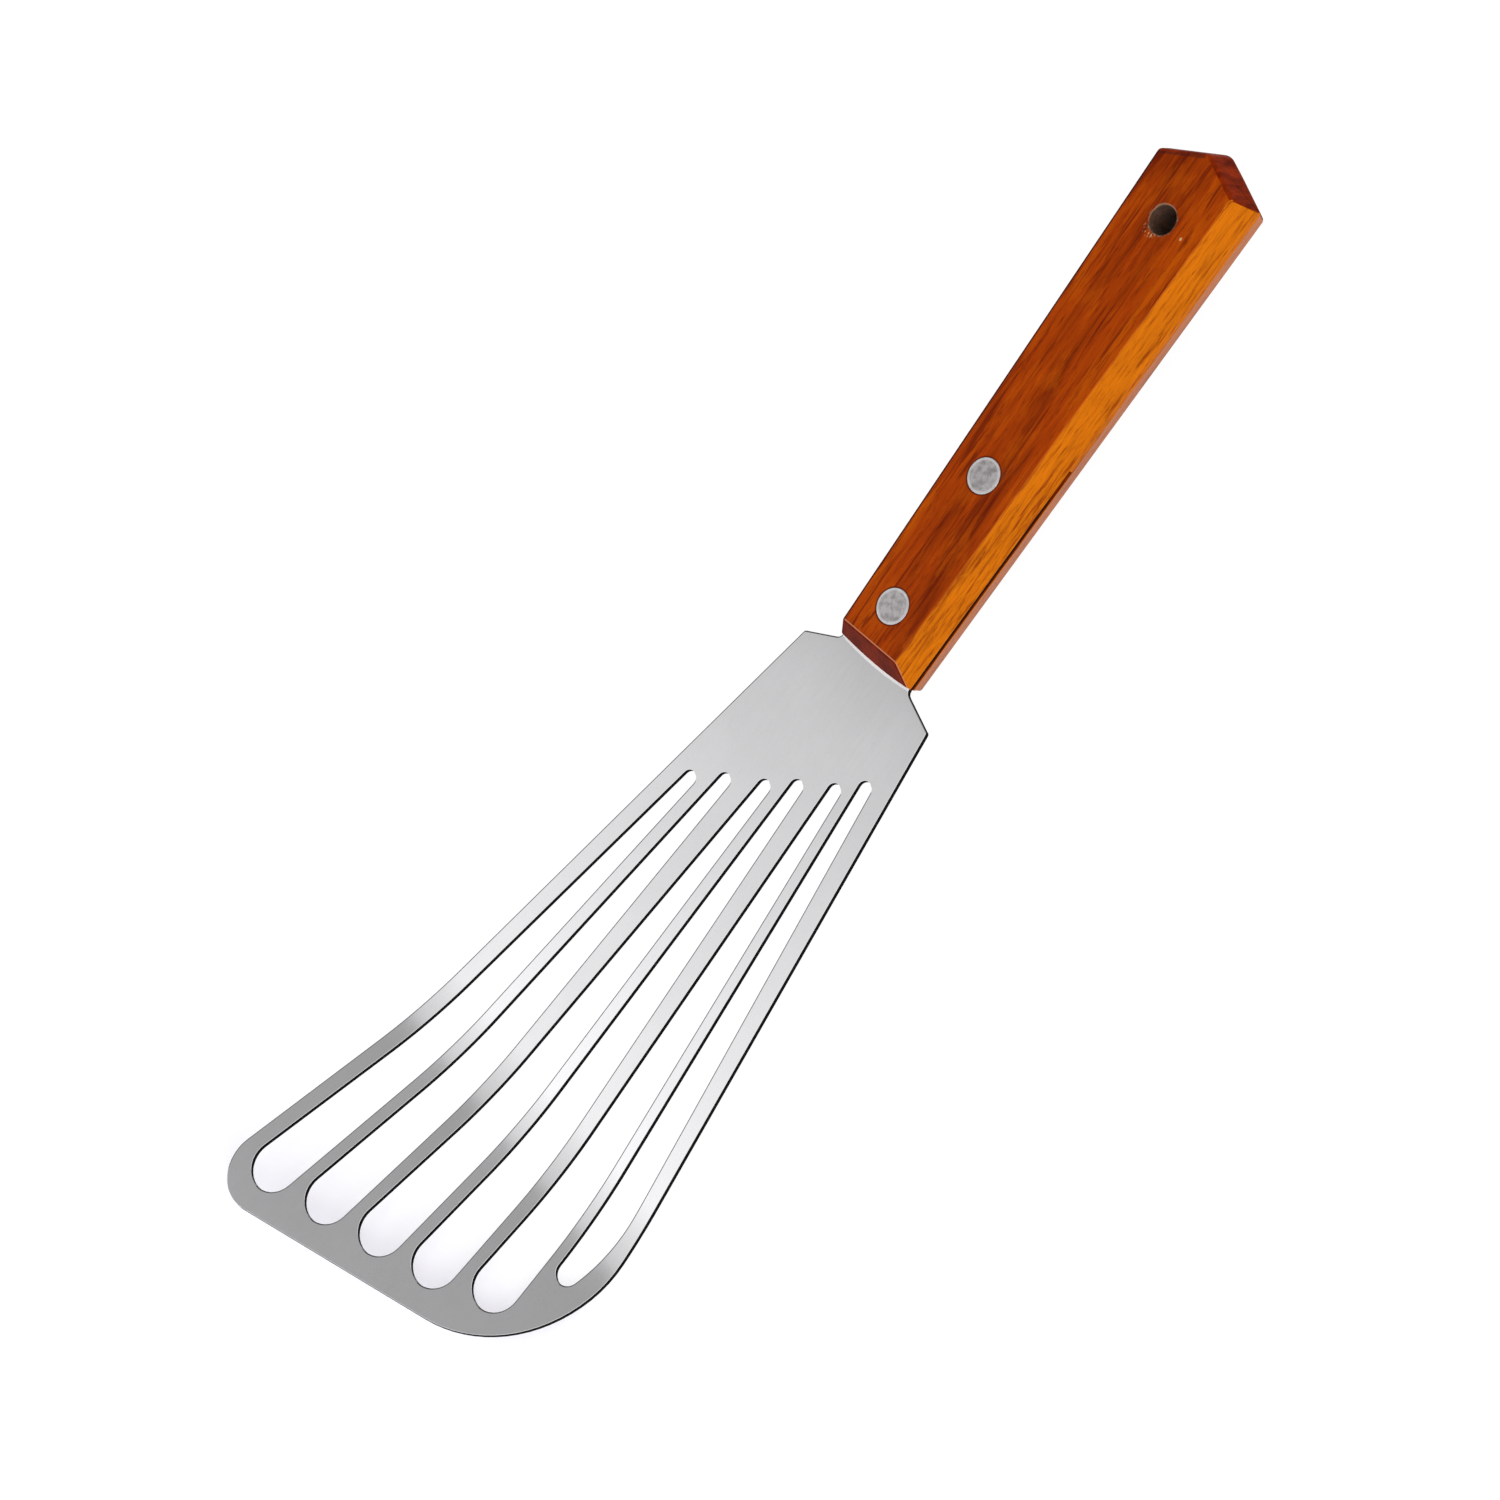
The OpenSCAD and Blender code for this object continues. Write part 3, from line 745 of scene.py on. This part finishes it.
@dataclass
class Rivets:
    """Two rivets of two parts each, ground flush with the wood."""

    edge_round: float = 0.12

    def build(self) -> list[bpy.types.Object]:
        """Makes the four rivet parts."""
        finish = RivetFinish().material()
        made = []
        for place in ("front", "rear"):
            for part in ("post", "sleeve"):
                piece = merged_copy(f"{place}_rivet_{part}", f"{place}_{part}")
                piece.data.materials.append(finish)
                soften(piece, self.edge_round, 2, 40)
                stand_for(piece, f"{place}_rivet_{part}")
                made.append(piece)
        return made


@dataclass
class Studio:
    """Camera, floor and light. Lengths in mm, directions as unit vectors."""

    eye: tuple[float, float, float] = (-36.03, 541.38, 828.48)
    right: tuple[float, float, float] = (-0.562635, 0.625506, -0.540541)
    up: tuple[float, float, float] = (-0.807659, -0.555438, 0.197927)
    back: tuple[float, float, float] = (-0.176432, 0.547933, 0.817704)
    lens: float = 113.63
    floor_tilt: float = 3.4
    floor_point: tuple[float, float, float] = (110.8, 0.0, -7.5)
    card_tones: tuple[tuple[float, float], ...] = (
        (0.10, 0.305), (0.20, 0.325), (0.235, 0.36), (0.265, 0.52), (0.285, 0.55),
        (0.33, 0.60), (0.40, 0.69), (0.47, 0.80), (0.60, 0.84))

    def camera(self) -> None:
        """Sets the camera that the photograph was fitted with."""
        data = bpy.data.cameras.new("camera")
        data.lens = self.lens
        data.sensor_width = 36.0
        data.sensor_fit = "HORIZONTAL"
        data.clip_start, data.clip_end = 0.01, 50.0
        turned = Matrix((self.right, self.up, self.back)).transposed().to_4x4()
        camera = bpy.data.objects.new("camera", data)
        camera.matrix_world = Matrix.Translation(Vector(self.eye) * MM) @ turned
        bpy.context.collection.objects.link(camera)
        bpy.context.scene.camera = camera

    def floor(self) -> None:
        """Lays a white floor that touches the handle's front and the bend's underside."""
        half = 4.0
        slope = math.tan(math.radians(self.floor_tilt))
        x0, z0 = self.floor_point[0] * MM, self.floor_point[2] * MM
        corner = np.array([[-half, -half], [half, -half], [half, half], [-half, half]])
        points = np.column_stack([corner, z0 + (corner[:, 0] - x0) * slope - 0.0003])
        mesh = bpy.data.meshes.new("floor")
        mesh.from_pydata(points.tolist(), [], [(0, 1, 2, 3)])
        made, n = new_material("white floor")
        path = n.add("LightPath")
        seen = n.math("ADD", path.outputs["Is Camera Ray"], path.outputs["Is Glossy Ray"])
        seen = n.math("ADD", seen, path.outputs["Is Transmission Ray"], True)
        where = n.where()
        past = n.math("ADD", where.outputs[0], n.times(where.outputs[1], 0.229))
        # inside a patch in front of the blade the floor takes the lamps' light so real shadows show, tinted by a
        # painted faint lavender glow; elsewhere the floor glows nearly white
        shadow_patch = n.times(n.spread(past, 0.250, 0.283), n.spread(where.outputs[0], 0.36, 0.29))
        shadow_patch = n.times(shadow_patch, n.times(n.spread(where.outputs[1], -0.12, -0.08),
                                               n.spread(where.outputs[1], 0.10, 0.06)))
        plain = n.add("BsdfDiffuse", Color=(0.8, 0.8, 0.8, 1))
        shade = n.add("BsdfDiffuse", Color=n.blend(shadow_patch, (0.14, 0.14, 0.14), (0.90, 0.90, 0.91)))
        glow = n.add("Emission", Color=n.blend(shadow_patch, (0.93, 0.93, 0.93), (0.195, 0.185, 0.22)), Strength=1.0)
        both = n.add("AddShader", i0=shade.outputs[0], i1=glow.outputs[0])
        pick = n.add("MixShader", i0=seen, i1=plain.outputs[0], i2=both.outputs[0])
        n.add("OutputMaterial", Surface=pick.outputs[0])
        mesh.materials.append(made)
        floor = bpy.data.objects.new("floor", mesh)
        bpy.context.collection.objects.link(floor)

    def world(self) -> None:
        """An even pale room, white behind what the camera sees."""
        world = bpy.data.worlds.new("room")
        bpy.context.scene.world = world
        world.use_nodes = True
        n = Nodes(world.node_tree)
        path = n.add("LightPath")
        light = n.add("Background", Color=(0.92, 0.92, 0.93, 1), Strength=1.0)
        white = n.add("Background", Color=(1, 1, 1, 1), Strength=1.0)
        pick = n.add("MixShader", i0=path.outputs["Is Camera Ray"], i1=light.outputs[0], i2=white.outputs[0])
        n.add("OutputWorld", Surface=pick.outputs[0])

    def card(self) -> None:
        """Hangs a pale card over the far side, grey above the handle and white past the blade."""
        x = np.array([-1.4, 1.6, 1.6, -1.4])
        y = np.array([-1.6, -1.6, -0.12, -0.12])
        mesh = bpy.data.meshes.new("card")
        mesh.from_pydata(np.column_stack([x, y, np.full(4, 0.8)]).tolist(), [], [(0, 3, 2, 1)])
        made, n = new_material("pale card")
        where = n.where()
        tone = n.ramp(where.outputs[0], *((p, (c, c, c * 1.01)) for p, c in self.card_tones))
        glow = n.add("Emission", Color=tone, Strength=1.4)
        n.add("OutputMaterial", Surface=glow.outputs[0])
        mesh.materials.append(made)
        card = bpy.data.objects.new("card", mesh)
        card.visible_camera = False
        bpy.context.collection.objects.link(card)

    def lamp(self, name: str, at: tuple[float, float, float], size: float, power: float) -> None:
        """A square soft light, at a place in metres, aimed at the middle of the tool."""
        data = bpy.data.lights.new(name, "AREA")
        data.size = size
        data.energy = power
        lamp = bpy.data.objects.new(name, data)
        aim = Vector((0.13, 0.0, 0.0)) - Vector(at)
        lamp.matrix_world = Matrix.Translation(Vector(at)) @ aim.to_track_quat("-Z", "Y").to_matrix().to_4x4()
        bpy.context.collection.objects.link(lamp)

    def build(self) -> None:
        """Sets up camera, floor and lights."""
        self.camera()
        self.floor()
        self.world()
        self.card()
        self.lamp("key", (0.2, 0.9, 0.75), 0.5, 3.0)
        bpy.context.scene.view_settings.view_transform = "Standard"


def main() -> None:
    """Builds the tool's pieces and the studio."""
    logging.basicConfig(level=logging.INFO, format="%(message)s")
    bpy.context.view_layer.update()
    Studio().build()
    Blade().build()
    Handle().build()
    Rivets().build()
    bpy.context.view_layer.update()


if __name__ == "__main__":
    main()
